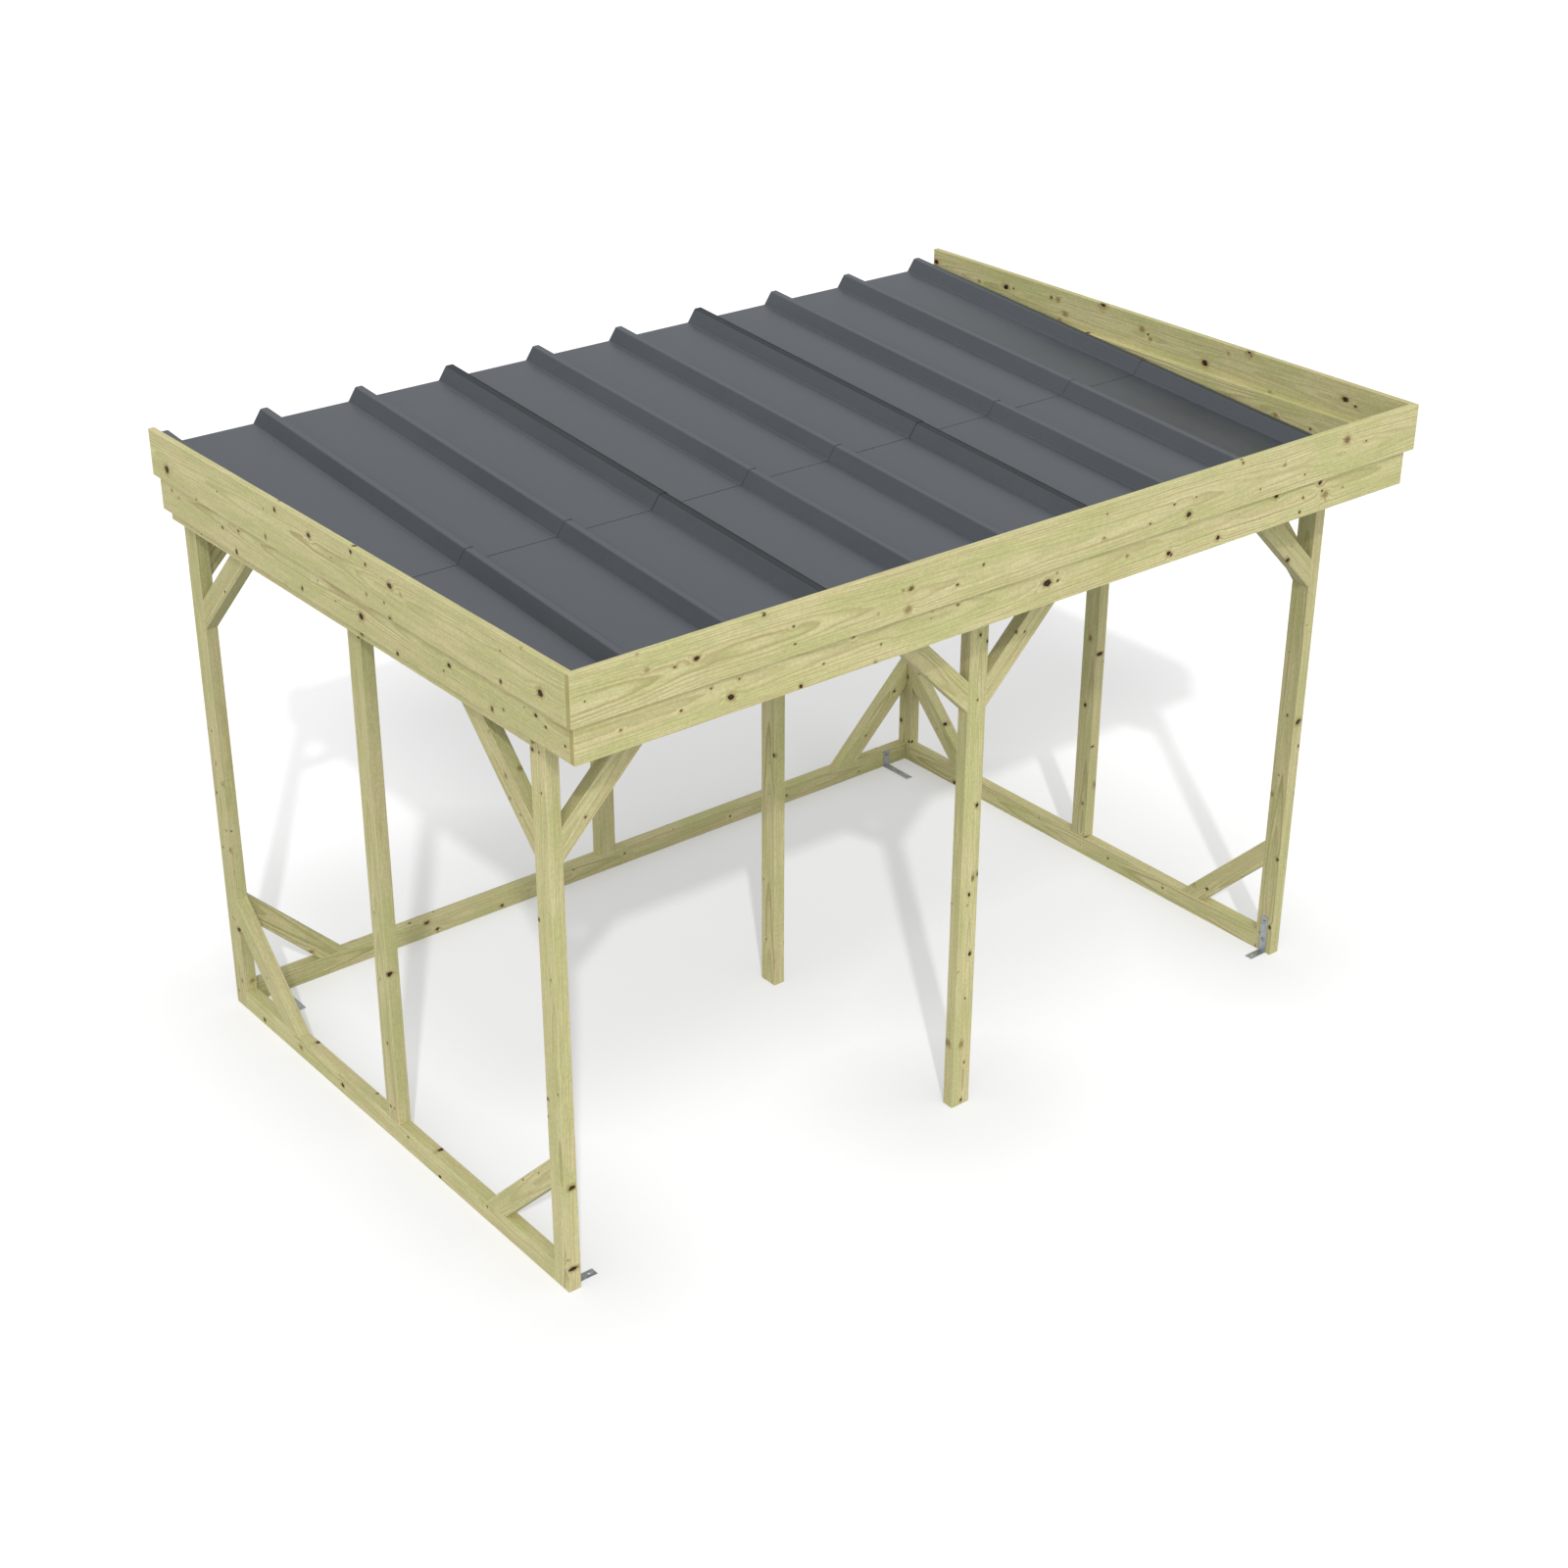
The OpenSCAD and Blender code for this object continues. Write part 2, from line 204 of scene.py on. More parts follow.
# how fine each effect is along and across the grain, then its detail and roughness
fibreLook = {
    "Patches": (4.0, 14.0, 3.0, 0.5),
    "Streaks": (2.2, 85.0, 4.0, 0.65),
    "Mottle": (95.0, 120.0, 3.0, 0.6),
    "fineAlong": 9.0, "broadAlong": 1.3,
}


def makeFibreGroup():
    group, given, wanted = newGroup("woodFibre", [
        ("Place", "vector", None), ("Fine", "value", 420.0), ("Broad", "value", 46.0),
    ], [("Fibre", "value"), ("Bands", "value"), ("Patches", "value"), ("Streaks", "value"),
        ("Mottle", "value")])
    fine = {0: fibreLook["fineAlong"], 1: given["Fine"], 2: given["Fine"]}
    broad = {0: fibreLook["broadAlong"], 1: given["Broad"], 2: given["Broad"]}
    fineScale = addNode(group, "CombineXYZ", fine).outputs[0]
    broadScale = addNode(group, "CombineXYZ", broad).outputs[0]
    finePlace = vectorMaths(group, "MULTIPLY", given["Place"], fineScale)
    broadPlace = vectorMaths(group, "MULTIPLY", given["Place"], broadScale)
    group.links.new(noise(group, finePlace, 1.0, 3.0, 0.6), wanted["Fibre"])
    group.links.new(noise(group, broadPlace, 1.0, 3.0, 0.55), wanted["Bands"])
    for effect in ("Patches", "Streaks", "Mottle"):
        along, across, detail, roughness = fibreLook[effect]
        place = stretched(group, given["Place"], along, across)
        group.links.new(noise(group, place, 1.0, detail, roughness), wanted[effect])
    return group


dustLook = {"cloud": 2.2, "fine": 55.0, "fineShare": 0.4, "runs": (26.0, 0.8, 4.0), "mask": (0.45, 1.0)}


def makeDustGroup():
    group, given, wanted = newGroup("settledDust", [
        ("Place", "vector", None), ("Amount", "value", 0.3),
    ], [("Dust", "value"), ("Runs", "value")])
    cloud = noise(group, given["Place"], dustLook["cloud"], 4.0, 0.6)
    fine = noise(group, given["Place"], dustLook["fine"], 3.0, 0.65)
    runs = noise(group, vectorMaths(group, "MULTIPLY", given["Place"], dustLook["runs"]), 1.0, 4.0, 0.6)
    mixed = maths(group, "MULTIPLY_ADD", fine, dustLook["fineShare"], cloud)
    mask = remap(group, mixed, *dustLook["mask"])
    group.links.new(maths(group, "MULTIPLY", mask, given["Amount"]), wanted["Dust"])
    group.links.new(runs, wanted["Runs"])
    return group


knotGroup = makeKnotGroup()
ringGroup = makeRingGroup()
fibreGroup = makeFibreGroup()
dustGroup = makeDustGroup()


def emptyMaterial(name):
    material = bpy.data.materials.new(name)
    material.use_nodes = True
    material.node_tree.nodes.clear()
    return material, material.node_tree


def newMaterial(name):
    material, tree = emptyMaterial(name)
    shader = addNode(tree, "BsdfPrincipled")
    addNode(tree, "OutputMaterial", {0: shader.outputs[0]})
    return material, tree, shader


pineLook = {
    "pale": (0.71, 0.655, 0.355, 1.0),
    "green": (0.59, 0.585, 0.27, 1.0),
    "tan": (0.68, 0.56, 0.31, 1.0),
    "late": (0.33, 0.27, 0.085, 1.0),
    "streak": (0.50, 0.44, 0.17, 1.0),
    # the paler rim on rounded arrises is a painted edge highlight, partly wear
    "arrisHighlight": (0.76, 0.72, 0.44, 1.0),
    "halo": (0.34, 0.23, 0.08, 1.0),
    "knot": (0.020, 0.010, 0.004, 1.0),
    "knotBrown": (0.10, 0.050, 0.018, 1.0),
    "endCut": (0.50, 0.43, 0.22, 1.0),
    # where each effect starts and ends, then how strong it is at both
    "greenPatches": (0.36, 0.66),
    "tanBands": (0.46, 0.78, 0.0, 0.65),
    "streaks": (0.55, 0.74, 0.0, 0.55),
    "lateLines": (0.3, 0.7, 0.75, 0.35),
    "fibreShade": (0.3, 0.75, 0.87, 1.07),
    "mottleShade": (0.3, 0.7, 0.93, 1.06),
    "pieceShade": (0.0, 1.0, 0.92, 1.06),
    "arrisHighlightAndWear": (0.3, 0.6, 0.08, 0.28),
    "knotMottle": (0.42, 0.72),
    "haloShare": 0.6, "endShare": 0.55,
    "rough": 0.5, "roughFibre": 0.25, "shine": 0.22,
    "bump": 0.5, "relief": 0.5 * mm,
    "pins": {"shift": (7.3, 0.0, 0.0), "spacing": 0.42, "size": 0.45, "share": 0.34, "turn": 1.9,
             "halo": 0.8, "core": 0.85},            # the many small knots, against the large ones
    "knotTurn": 1.15,
}

timberKinds = {
    "frame_wood": {"name": "treatedFrameTimber", "rings": 0.0042, "wander": 0.018,
                   "knot": 0.0080, "knotSpacing": 0.27, "knotShare": 0.40},
    "board_wood": {"name": "treatedFasciaBoard", "rings": 0.0052, "wander": 0.030,
                   "knot": 0.0105, "knotSpacing": 0.22, "knotShare": 0.45},
}


def treatedPine(kind):
    material, tree, shader = newMaterial(kind["name"])
    look = pineLook
    small = look["pins"]
    place = addNode(tree, "Attribute", attribute_name="grain").outputs["Vector"]
    arris = addNode(tree, "Attribute", attribute_name="arris").outputs["Fac"]
    cutEnd = addNode(tree, "Attribute", attribute_name="cutEnd").outputs["Fac"]
    tone = addNode(tree, "Attribute", attribute_name="tone").outputs["Fac"]
    knots = useGroup(tree, knotGroup, {"Place": place, "Spacing": kind["knotSpacing"], "Size": kind["knot"],
                                       "Share": kind["knotShare"], "Turn": look["knotTurn"]})
    pins = useGroup(tree, knotGroup, {
        "Place": vectorMaths(tree, "ADD", place, small["shift"]),
        "Spacing": kind["knotSpacing"] * small["spacing"], "Size": kind["knot"] * small["size"],
        "Share": kind["knotShare"] * small["share"], "Turn": small["turn"],
    })
    pull = maths(tree, "ADD", knots["Pull"], pins["Pull"])
    rings = useGroup(tree, ringGroup, {"Place": place, "Pull": pull, "Spacing": kind["rings"],
                                       "Wander": kind["wander"]})
    fibre = useGroup(tree, fibreGroup, {"Place": place})

    patches = remap(tree, fibre["Patches"], *look["greenPatches"])
    colour = mixColour(tree, patches, look["pale"], look["green"])
    colour = mixColour(tree, remap(tree, fibre["Bands"], *look["tanBands"]), colour, look["tan"])
    colour = mixColour(tree, remap(tree, fibre["Streaks"], *look["streaks"]), colour, look["streak"])
    lines = maths(tree, "MULTIPLY", rings["Late"], remap(tree, fibre["Patches"], *look["lateLines"]))
    colour = mixColour(tree, lines, colour, look["late"])
    shade = remap(tree, fibre["Fibre"], *look["fibreShade"])
    shade = maths(tree, "MULTIPLY", shade, remap(tree, fibre["Mottle"], *look["mottleShade"]))
    shade = maths(tree, "MULTIPLY", shade, remap(tree, tone, *look["pieceShade"]))
    colour = addNode(tree, "VectorMath", {0: colour, "Scale": shade}, operation="SCALE").outputs[0]
    halo = maths(tree, "MAXIMUM", knots["Halo"], maths(tree, "MULTIPLY", pins["Halo"], small["halo"]))
    colour = mixColour(tree, maths(tree, "MULTIPLY", halo, look["haloShare"]), colour, look["halo"])
    core = maths(tree, "MAXIMUM", knots["Core"], maths(tree, "MULTIPLY", pins["Core"], small["core"]))
    mottled = remap(tree, fibre["Mottle"], *look["knotMottle"])
    colour = mixColour(tree, core, colour, mixColour(tree, mottled, look["knot"], look["knotBrown"]))
    ends = maths(tree, "MULTIPLY", cutEnd, look["endShare"])
    colour = mixColour(tree, ends, colour, look["endCut"], "MULTIPLY")
    # paler rounded arrises: painted edge highlight, partly wear, patchy along the piece
    highlightAndWear = maths(tree, "MULTIPLY", arris, remap(tree, fibre["Patches"], *look["arrisHighlightAndWear"]))
    colour = mixColour(tree, highlightAndWear, colour, look["arrisHighlight"])
    tree.links.new(colour, shader.inputs["Base Color"])

    rough = maths(tree, "MULTIPLY_ADD", fibre["Fibre"], look["roughFibre"], look["rough"])
    tree.links.new(rough, shader.inputs["Roughness"])
    height = maths(tree, "MULTIPLY_ADD", rings["Late"], 0.5, maths(tree, "MULTIPLY", fibre["Fibre"], 0.8))
    height = maths(tree, "SUBTRACT", height, maths(tree, "MULTIPLY", core, 0.6))
    bump = addNode(tree, "Bump", {"Strength": look["bump"], "Distance": look["relief"], "Height": height})
    tree.links.new(bump.outputs[0], shader.inputs["Normal"])
    shader.inputs["Specular IOR Level"].default_value = look["shine"]
    return material


roofLook = {
    "coat": (0.025, 0.035, 0.048, 1.0),
    "coatWorn": (0.035, 0.045, 0.059, 1.0),
    "dust": (0.20, 0.21, 0.21, 1.0),
    # the side-lap band colours are painted shade and a painted shadow line, not a tape
    "paintedLapShade": (0.027, 0.032, 0.038, 1.0),
    "paintedLapShadowLine": (0.006, 0.008, 0.009, 1.0),
    "wornRuns": (0.35, 0.75, 0.0, 0.8),
    "paintedShadowLine": (0.35, 0.45),                          # across the painted shade band, from its middle to its far edge
    "shadowLineWave": 0.3, "shadowLineShift": 0.15,
    "dustAmount": 0.10,
    "roughness": 0.31, "roughRuns": 0.12, "roughPaintedLapShade": 0.5,
    "refraction": 1.56,
    "pebble": 900.0, "pebbleHeight": 0.012, "waves": (5.0, 1.4, 5.0),
    "bump": 0.3, "relief": 3.0 * mm,
}


def coatedSteel():
    material, tree, shader = newMaterial("roofCoating")
    look = roofLook
    place = addNode(tree, "TexCoord").outputs["Object"]
    across = addNode(tree, "Attribute", attribute_name="lapAcross").outputs["Fac"]
    paintedLapShade = addNode(tree, "Attribute", attribute_name="paintedLapShadeMask").outputs["Fac"]
    film = useGroup(tree, dustGroup, {"Place": place, "Amount": look["dustAmount"]})
    pebble = noise(tree, place, look["pebble"], 2.0)
    waves = noise(tree, vectorMaths(tree, "MULTIPLY", place, look["waves"]), 1.0, 2.0, 0.4)
    colour = mixColour(tree, remap(tree, film["Runs"], *look["wornRuns"]), look["coat"], look["coatWorn"])
    colour = mixColour(tree, film["Dust"], colour, look["dust"])
    # painted shade along the crests of the side laps, with a darker painted shadow line at its far edge
    shifted = maths(tree, "SUBTRACT", across, look["shadowLineShift"])
    wavy = maths(tree, "MULTIPLY_ADD", noise(tree, place, 9.0, 2.0), look["shadowLineWave"], shifted)
    paintedShadowLine = maths(tree, "MULTIPLY", paintedLapShade, remap(tree, wavy, *look["paintedShadowLine"]))
    colour = mixColour(tree, paintedLapShade, colour, look["paintedLapShade"])
    colour = mixColour(tree, paintedShadowLine, colour, look["paintedLapShadowLine"])
    tree.links.new(colour, shader.inputs["Base Color"])
    rough = maths(tree, "MULTIPLY_ADD", film["Runs"], look["roughRuns"], look["roughness"])
    rough = maths(tree, "ADD", rough, film["Dust"])
    rough = maths(tree, "ADD", rough, maths(tree, "MULTIPLY", paintedLapShade, look["roughPaintedLapShade"]))
    tree.links.new(rough, shader.inputs["Roughness"])
    shader.inputs["IOR"].default_value = look["refraction"]
    height = maths(tree, "MULTIPLY_ADD", pebble, look["pebbleHeight"], waves)
    bump = addNode(tree, "Bump", {"Strength": look["bump"], "Distance": look["relief"], "Height": height})
    tree.links.new(bump.outputs[0], shader.inputs["Normal"])
    return material


zincLook = {
    "zinc": (0.47, 0.50, 0.53), "dull": 0.82, "bright": 1.12,      # the darkest and the palest flakes
    "film": (0.34, 0.34, 0.33, 1.0), "filmAmount": 0.4, "filmGrain": (6.0, 6.0, 6.0),
    "flakes": 160.0,
    "rough": 0.36, "roughFlakes": 0.16, "metal": 0.8,
    "bump": 0.25, "relief": 0.2 * mm,
}


def galvanised(name, tone):
    material, tree, shader = newMaterial(name)
    look = zincLook
    place = addNode(tree, "TexCoord").outputs["Object"]
    flakes = addNode(tree, "TexVoronoi", {"Vector": place, "Scale": look["flakes"]}).outputs
    tint = addNode(tree, "SeparateColor", {0: flakes["Color"]}).outputs[0]
    filmPlace = vectorMaths(tree, "MULTIPLY", place, look["filmGrain"])
    film = useGroup(tree, dustGroup, {"Place": filmPlace, "Amount": look["filmAmount"]})
    darkest = [value * tone * look["dull"] for value in look["zinc"]] + [1.0]
    palest = [value * tone * look["bright"] for value in look["zinc"]] + [1.0]
    colour = mixColour(tree, tint, darkest, palest)
    colour = mixColour(tree, film["Dust"], colour, look["film"])
    tree.links.new(colour, shader.inputs["Base Color"])
    rough = maths(tree, "MULTIPLY_ADD", tint, look["roughFlakes"], look["rough"])
    tree.links.new(rough, shader.inputs["Roughness"])
    shader.inputs["Metallic"].default_value = look["metal"]
    bump = addNode(tree, "Bump", {"Strength": look["bump"], "Distance": look["relief"], "Height": tint})
    tree.links.new(bump.outputs[0], shader.inputs["Normal"])
    return material


finishes = {slot: treatedPine(kind) for slot, kind in timberKinds.items()}
finishes["roof_steel"] = coatedSteel()
finishes["zinc_steel"] = galvanised("galvanisedStrip", 1.0)
finishes["screws"] = galvanised("zincScrew", 0.85)
slotOf = {part["node"]: part["material_slot"] for part in frame["record"]["subparts"]}
print("finishes made:", len(finishes))


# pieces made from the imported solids, with real arrises and folds

packedLook = {
    "weld": 0.02 * mm, "flatWithin": 0.5,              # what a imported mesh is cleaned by
    "hardEdge": 40.0, "smoothUnder": 32.0,
    "forward": (1.0, 0.31, 0.13),                      # a slanted way, square to no edge
}


def howForward(verts):
    # solids are taken in this order, so that each one always gets the same grain
    middle = sum((vert.co for vert in verts), Vector()) / len(verts)
    return middle.dot(Vector(packedLook["forward"]))


def facing(way):
    # one way round, whichever of two opposite edges or faces was found first
    return -way if way.dot(Vector(packedLook["forward"])) < 0 else way


def solidMeshes(name):
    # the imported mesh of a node, welded, freed of its triangles and split into its solids
    whole = bmesh.new()
    whole.from_mesh(nodes[name].data)
    bmesh.ops.remove_doubles(whole, verts=whole.verts, dist=packedLook["weld"])
    flat = math.radians(packedLook["flatWithin"])
    bmesh.ops.dissolve_limit(whole, angle_limit=flat, verts=whole.verts, edges=whole.edges)
    islands = []
    reached = set()
    for start in whole.verts:
        if start in reached:
            continue
        reached.add(start)
        island = [start]
        for vert in island:                # the list grows while it is walked
            for edge in vert.link_edges:
                far = edge.other_vert(vert)
                if far not in reached:
                    reached.add(far)
                    island.append(far)
        islands.append(island)
    solids = []
    for island in sorted(islands, key=howForward):
        solid = bmesh.new()
        copies = {vert: solid.verts.new(vert.co) for vert in island}
        for face in whole.faces:
            if face.verts[0] in copies:
                solid.faces.new([copies[vert] for vert in face.verts])
        solid.normal_update()
        solids.append(solid)
    whole.free()
    return solids


def hardEdges(solid):
    hard = math.radians(packedLook["hardEdge"])
    return [edge for edge in solid.edges if len(edge.link_faces) == 2 and edge.calc_face_angle() > hard]


def roundOff(solid, edges, offset, segments):
    return bmesh.ops.bevel(solid, geom=edges, offset=offset, segments=segments, profile=0.5, affect="EDGES",
                           offset_type="OFFSET", clamp_overlap=True)


def finishMesh(solid, name, material, smoothAngle=packedLook["smoothUnder"]):
    mesh = bpy.data.meshes.new(name)
    solid.to_mesh(mesh)
    mesh.materials.append(material)
    mesh.shade_smooth()
    mesh.set_sharp_from_angle(angle=math.radians(smoothAngle))
    piece = bpy.data.objects.new(name, mesh)
    bpy.context.scene.collection.objects.link(piece)
    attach(piece, "root")
    return piece


timberLook = {
    "arris": {"frame_wood": 2.0 * mm, "board_wood": 1.2 * mm},
    "segments": 3,
    "boardHeart": (0.045, 0.085),      # how far the heart of the log lies below a board
    "postHeart": (0.030, 0.060),
    "heartAside": 0.030,
    "anywhere": 40.0,                  # metres of one long log to cut a piece's grain from
    "endFacing": 0.6,                  # a mitre is a cut end too
    "smoothUnder": 50.0,
}


def grainAxes(solid):
    # the longest edge runs with the grain, and the largest face is square to the thickness
    longest = max(solid.edges, key=lambda edge: edge.calc_length())
    along = facing((longest.verts[1].co - longest.verts[0].co).normalized())
    thick = max(solid.faces, key=lambda face: face.calc_area()).normal.copy()
    thick = facing((thick - along * thick.dot(along)).normalized())
    return along, along.cross(thick), thick


def timberPiece(name):
    slot = slotOf[name]
    isBoard = slot == "board_wood"
    whole = bmesh.new()
    grain = whole.verts.layers.float_vector.new("grain")
    arris = whole.faces.layers.float.new("arris")
    cutEnd = whole.faces.layers.float.new("cutEnd")
    tone = whole.verts.layers.float.new("tone")
    for number, solid in enumerate(solidMeshes(name)):
        draw = random.Random(f"{name} {number}")
        along, across, thick = grainAxes(solid)
        middle = sum((vert.co for vert in solid.verts), Vector()) / len(solid.verts)
        if draw.random() < 0.5 and not isBoard:
            across, thick = -across, -thick
        heart = timberLook["boardHeart" if isBoard else "postHeart"]
        cutAt = draw.uniform(0, timberLook["anywhere"])
        aside = draw.uniform(-1, 1) * timberLook["heartAside"]
        shift = Vector((cutAt, aside, draw.uniform(*heart)))
        ownTone = draw.random()
        bevelled = roundOff(solid, list(solid.edges), timberLook["arris"][slot], timberLook["segments"])
        rounded = set(bevelled["faces"])
        copies = {}
        for vert in solid.verts:
            copy = whole.verts.new(vert.co)
            own = vert.co - middle
            copy[grain] = Vector((own.dot(along), own.dot(across), own.dot(thick))) + shift
            copy[tone] = ownTone
            copies[vert] = copy
        for face in solid.faces:
            copy = whole.faces.new([copies[vert] for vert in face.verts])
            copy[arris] = 1.0 if face in rounded else 0.0
            acrossGrain = abs(face.normal.dot(along)) > timberLook["endFacing"]
            copy[cutEnd] = 1.0 if acrossGrain and face not in rounded else 0.0
        solid.free()
    piece = finishMesh(whole, name + ".timber", finishes[slot], timberLook["smoothUnder"])
    whole.free()
    weighted = piece.modifiers.new("evenShading", "WEIGHTED_NORMAL")
    weighted.keep_sharp = True
    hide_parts(name)


timberNodes = [name for name, slot in slotOf.items() if slot in ("frame_wood", "board_wood")]
for name in timberNodes:
    timberPiece(name)
print("timbers rounded:", len(timberNodes))


sheetLook = {
    "footBend": 2.0 * mm, "crestBend": 3.5 * mm, "segments": 4,
    "shortest": 0.4, "sharpest": 10.0, # a fold is a long edge that turns at least this much
    "narrow": 4.0 * mm,                # a face narrower than this is the sheet's own thickness
    "crest": 40 * mm,                  # and one narrower than this is a crest
    "level": 0.2,                      # how far a flat face may lean sideways
    "laps": (-0.5, 0.5), "lapHalf": 12 * mm,
    "lapShadeOver": 1.5 * mm, "lapShadeRise": 0.8,
}


def nearestLap(x):
    return min(sheetLook["laps"], key=lambda lap: abs(lap - x))


def foldsOf(solid):
    folds = {"footBend": [], "crestBend": []}
    for edge in solid.edges:
        if edge.calc_length() < sheetLook["shortest"] or len(edge.link_faces) != 2:
            continue
        if edge.calc_face_angle() < math.radians(sheetLook["sharpest"]):
            continue
        widths = [face.calc_area() / edge.calc_length() for face in edge.link_faces]
        if min(widths) < sheetLook["narrow"]:
            continue
        flats = [width for face, width in zip(edge.link_faces, widths)
                 if abs(face.normal.x) < sheetLook["level"]]
        middle = (edge.verts[0].co.x + edge.verts[1].co.x) / 2
        lipFold = 0.0 < middle - nearestLap(middle) < 2 * sheetLook["lapHalf"]
        onCrest = flats and min(flats) < sheetLook["crest"] and not lipFold
        folds["crestBend" if onCrest else "footBend"].append(edge)
    return folds


def sheetPiece(name):
    solid = solidMeshes(name)[0]
    for bend in ("crestBend", "footBend"):
        roundOff(solid, foldsOf(solid)[bend], sheetLook[bend], sheetLook["segments"])
    across = solid.verts.layers.float.new("lapAcross")
    paintedLapShade = solid.faces.layers.float.new("paintedLapShadeMask")
    for vert in solid.verts:
        vert[across] = (vert.co.x - nearestLap(vert.co.x)) / sheetLook["lapHalf"]
    # upward faces on the side-lap crests get the painted shade band
    for face in solid.faces:
        middle = face.calc_center_median().x
        onLap = abs(middle - nearestLap(middle)) < sheetLook["lapHalf"] + sheetLook["lapShadeOver"]
        face[paintedLapShade] = 1.0 if onLap and face.normal.z > sheetLook["lapShadeRise"] else 0.0
    piece = finishMesh(solid, name + ".folded", finishes["roof_steel"])
    solid.free()
    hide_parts(name)


for name in nodes:
    if slotOf[name] == "roof_steel":
        sheetPiece(name)
print("sheets folded")


bracketLook = {"edge": 0.5 * mm, "segments": 2}


def bracketPiece(name):
    solid = solidMeshes(name)[0]
    roundOff(solid, hardEdges(solid), bracketLook["edge"], bracketLook["segments"])
    piece = finishMesh(solid, name + ".strip", finishes["zinc_steel"])
    solid.free()
    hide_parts(name)


screwLook = {
    "stripThick": 2.5 * mm, "lowHole": 48 * mm, "fromTip": 20 * mm,      # where a bracket's holes lie
    "flange": 7.5 * mm, "flangeTop": 0.93, "flangeThick": 1.3 * mm, "flangeSides": 32,
    "hex": 5.5 * mm, "hexHigh": 4.2 * mm,
    "edge": 0.4 * mm, "segments": 2, "gap": 0.05 * mm,
}


def screwSpots(name):
    # the holes in the leg that stands against the timber, and the way a screw's head faces
    low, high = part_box(name)
    middle = (low + high) / 2
    if "front" in name:
        out = Vector((1, 0, 0)) if "left" in name else Vector((-1, 0, 0))
        face = low.x + screwLook["stripThick"] if "left" in name else high.x - screwLook["stripThick"]
        heights = (low.z + screwLook["lowHole"], high.z - screwLook["fromTip"])
        return [Vector((face, middle.y, height)) for height in heights], out
    face = high.y - screwLook["stripThick"]
    return [Vector((middle.x, face, high.z - screwLook["fromTip"]))], Vector((0, -1, 0))


def addStub(head, sides, foot, top, low, high):
    raised = Matrix.Translation((0, 0, (low + high) / 2))
    bmesh.ops.create_cone(head, cap_ends=True, segments=sides, radius1=foot, radius2=top, depth=high - low,
                          matrix=raised)


def screwHead(spot, out, spin):
    # a hexagon head on its flange
    head = bmesh.new()
    look = screwLook
    flangeTop = look["flange"] * look["flangeTop"]
    addStub(head, look["flangeSides"], look["flange"], flangeTop, 0.0, look["flangeThick"])
    addStub(head, 6, look["hex"], look["hex"], look["flangeThick"], look["flangeThick"] + look["hexHigh"])
    roundOff(head, hardEdges(head), look["edge"], look["segments"])
    turned = out.to_track_quat("Z", "Y").to_matrix().to_4x4() @ Matrix.Rotation(spin, 4, "Z")
    head.transform(Matrix.Translation(spot + out * look["gap"]) @ turned)
    return head


def bracketScrews(name):
    spots, out = screwSpots(name)
    for number, spot in enumerate(spots, 1):
        spin = random.Random(f"{name} screw {number}").uniform(0.0, math.pi / 3)
        head = screwHead(spot, out, spin)
        piece = finishMesh(head, f"{name}.screw{number}", finishes["screws"])
        head.free()


for name in nodes:
    if slotOf[name] == "zinc_steel":
        bracketPiece(name)
        bracketScrews(name)
print("brackets and screws made")


# floor, world, lamps and camera

floorLook = {
    "half": 60.0, "own": (0.34, 0.34, 0.34, 1.0), "white": (1.0, 1.0, 1.0, 1.0),
    "glow": 1.08, "glowShare": 0.45,
    "stands": 0.1, "reach": 0.68, "near": 0.27,      # painted soft shade round whatever stands on the floor
    "roofShade": (                                   # and painted shade under the roof, drawn away from the key
        {"low": (-0.85, 0.22), "high": (1.30, 1.35), "reach": 0.80, "shade": 0.36},
        {"low": (0.45, -0.15), "high": (1.60, 1.00), "reach": 0.85, "shade": 0.26},
        {"low": (0.40, 1.20), "high": (2.50, 2.40), "reach": 0.90, "shade": 0.36},
    ),
}


def shadeBox(tree, low, high, reach):
    middle = [(a + b) / 2 for a, b in zip(low, high)] + [0.0]
    half = [(b - a) / 2 for a, b in zip(low, high)] + [0.0]
    spot = vectorMaths(tree, "SUBTRACT", addNode(tree, "NewGeometry").outputs["Position"], middle)
    beyond = vectorMaths(tree, "SUBTRACT", vectorMaths(tree, "ABSOLUTE", spot), half)
    outside = vectorMaths(tree, "MAXIMUM", beyond, (0.0, 0.0, 0.0))
    away = addNode(tree, "VectorMath", {0: outside}, operation="LENGTH")
    return remap(tree, away.outputs["Value"], 0.0, reach, 1.0, 0.0)


def floorShade(tree):
    shade = 0.0
    for name in nodes:
        low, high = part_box(name)
        if low[2] < floorLook["stands"] and slotOf[name] == "frame_wood":
            near = shadeBox(tree, low[:2], high[:2], floorLook["reach"])
            shade = maths(tree, "MAXIMUM", shade, maths(tree, "MULTIPLY", near, floorLook["near"]))
    for patch in floorLook["roofShade"]:
        under = shadeBox(tree, patch["low"], patch["high"], patch["reach"])
        shade = maths(tree, "MAXIMUM", shade, maths(tree, "MULTIPLY", under, patch["shade"]))
    return shade


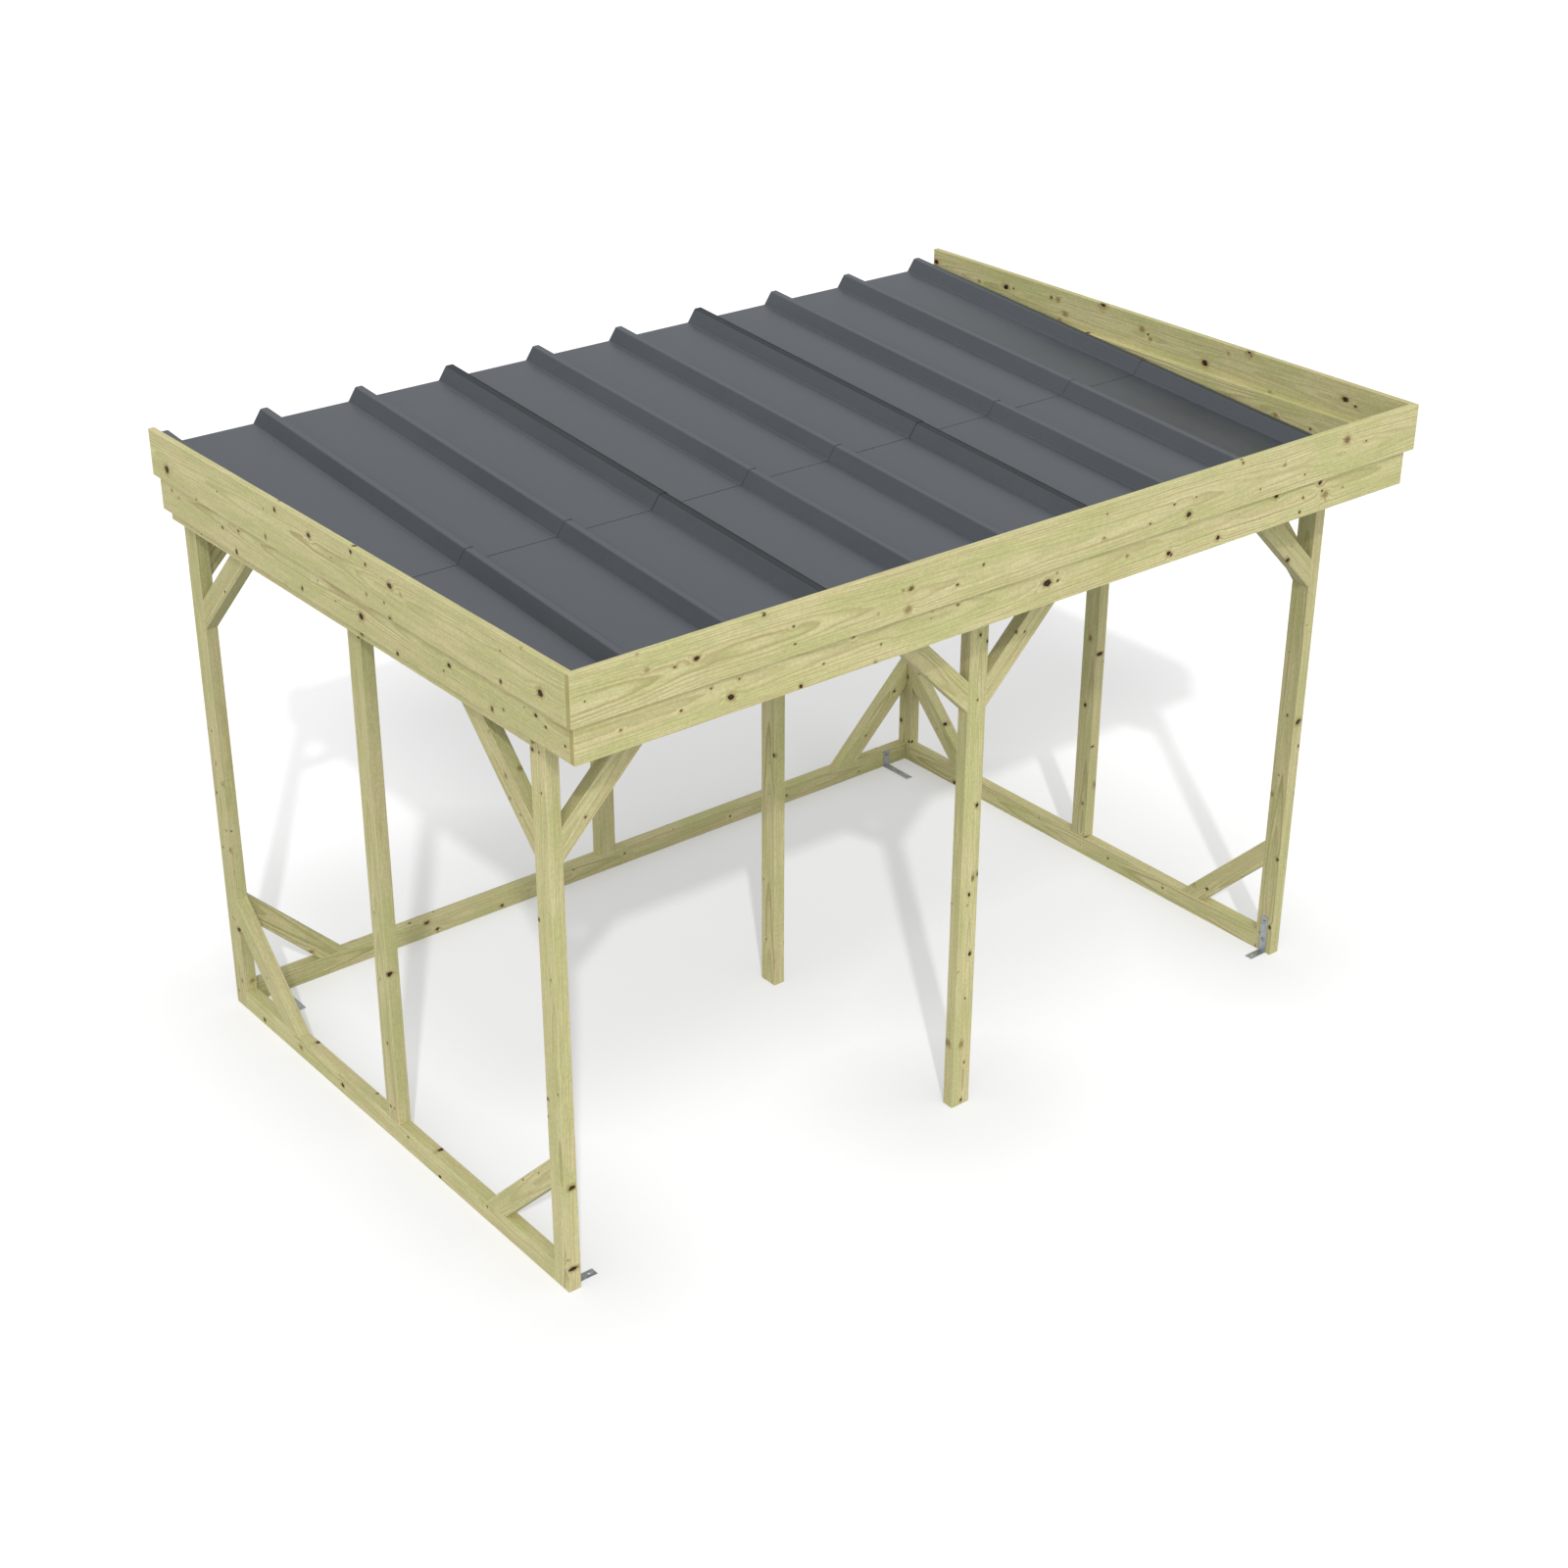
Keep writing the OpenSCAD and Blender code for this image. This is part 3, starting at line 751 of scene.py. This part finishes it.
def makeFloor():
    mesh = bpy.data.meshes.new("floor")
    half = floorLook["half"]
    corners = [(-half, -half, 0), (half, -half, 0), (half, half, 0), (-half, half, 0)]
    mesh.from_pydata(corners, [], [(0, 1, 2, 3)])
    floor = bpy.data.objects.new("floor", mesh)
    bpy.context.scene.collection.objects.link(floor)
    material, tree = emptyMaterial("paleFloor")
    path = addNode(tree, "LightPath").outputs
    seen = maths(tree, "MAXIMUM", path["Is Camera Ray"],
                 maths(tree, "MAXIMUM", path["Is Glossy Ray"], path["Is Transmission Ray"]))
    own = addNode(tree, "BsdfDiffuse", {"Color": floorLook["own"]}).outputs[0]
    shown = addNode(tree, "BsdfDiffuse", {"Color": floorLook["white"]}).outputs[0]
    # the floor's glow is dimmed by painted shade
    strength = maths(tree, "SUBTRACT", floorLook["glow"], floorShade(tree))
    glow = addNode(tree, "Emission", {"Color": floorLook["white"], "Strength": strength}).outputs[0]
    soft = addNode(tree, "MixShader", {0: floorLook["glowShare"], 1: shown, 2: glow}).outputs[0]
    mixed = addNode(tree, "MixShader", {0: seen, 1: own, 2: soft}).outputs[0]
    addNode(tree, "OutputMaterial", {0: mixed})
    floor.data.materials.append(material)
    return floor


lightLook = {
    "white": (1.0, 1.0, 1.0, 1.0),
    "lean": (-0.4, 1.0, 0.72, 1.46),             # the soft sky, from the far side to the key side
    "upward": (0.25, 1.0, 1.0, 0.84),            # and from the sides to right overhead
    "mirrored": (0.26, 0.58, 0.37, 1.42),        # what the roof mirrors, from low down to high up
    "key": 0.20, "floorKey": 0.32,               # the second one is for the floor's shadow only
    "keyTurn": 235.9, "keyHeight": 39.0, "keySoft": 1.6, "keyAway": 10.0,
}


def makeWorld():
    world = bpy.data.worlds.new("studio")
    bpy.context.scene.world = world
    world.use_nodes = True
    tree = world.node_tree
    tree.nodes.clear()
    path = addNode(tree, "LightPath").outputs
    seen = maths(tree, "MAXIMUM", path["Is Camera Ray"], path["Is Transmission Ray"])
    way = addNode(tree, "TexCoord").outputs["Generated"]
    turn = math.radians(lightLook["keyTurn"])
    keySide = (math.cos(turn), math.sin(turn), 0.0)
    side = addNode(tree, "VectorMath", {0: way, 1: keySide}, operation="DOT_PRODUCT")
    sky = remap(tree, side.outputs["Value"], *lightLook["lean"])
    rise = addNode(tree, "SeparateXYZ", {0: way}).outputs[2]
    sky = maths(tree, "MULTIPLY", sky, remap(tree, rise, *lightLook["upward"]))
    mirrored = remap(tree, rise, *lightLook["mirrored"], smooth=False)
    strength = addNode(tree, "Mix", {0: path["Is Glossy Ray"], 2: sky, 3: mirrored}).outputs[0]
    strength = addNode(tree, "Mix", {0: seen, 2: strength, 3: 1.0}).outputs[0]
    background = addNode(tree, "Background", {"Color": lightLook["white"], "Strength": strength})
    addNode(tree, "OutputWorld", {0: background.outputs[0]})


def makeLamp(name, only=None):
    lamp = bpy.data.lights.new(name, "SUN")
    lamp.energy = lightLook[name] * math.pi      # so that 1.0 lights a white face to white
    lamp.angle = math.radians(lightLook["keySoft"])
    holder = bpy.data.objects.new(name, lamp)
    turn = math.radians(lightLook["keyTurn"])
    height = math.radians(lightLook["keyHeight"])
    level = math.cos(height)
    toward = Vector((math.cos(turn) * level, math.sin(turn) * level, math.sin(height)))
    holder.location = toward * lightLook["keyAway"]
    holder.rotation_euler = toward.to_track_quat("Z", "Y").to_euler()
    bpy.context.scene.collection.objects.link(holder)
    if only is not None:
        lit = bpy.data.collections.new(name + ".lit")
        lit.objects.link(only)
        holder.light_linking.receiver_collection = lit


cameraLook = {
    "place": (-4.5825, -5.676, 4.591), "turn": -38.84, "downTilt": 27.58, "roll": 0.2,
    "lens": 58.26, "sensor": 36.0,
}


def makeCamera():
    camera = bpy.data.cameras.new("camera")
    camera.lens = cameraLook["lens"]
    camera.sensor_width = cameraLook["sensor"]
    holder = bpy.data.objects.new("camera", camera)
    turned = Matrix.Rotation(math.radians(cameraLook["turn"]), 4, "Z")
    tilted = Matrix.Rotation(math.radians(90.0 - cameraLook["downTilt"]), 4, "X")
    rolled = Matrix.Rotation(math.radians(cameraLook["roll"]), 4, "Z")
    holder.matrix_world = Matrix.Translation(cameraLook["place"]) @ turned @ tilted @ rolled
    bpy.context.scene.collection.objects.link(holder)
    bpy.context.scene.camera = holder


floor = makeFloor()
makeWorld()
makeLamp("key")
makeLamp("floorKey", only=floor)
makeCamera()
bpy.context.scene.view_settings.view_transform = "Standard"
print("stage ready")
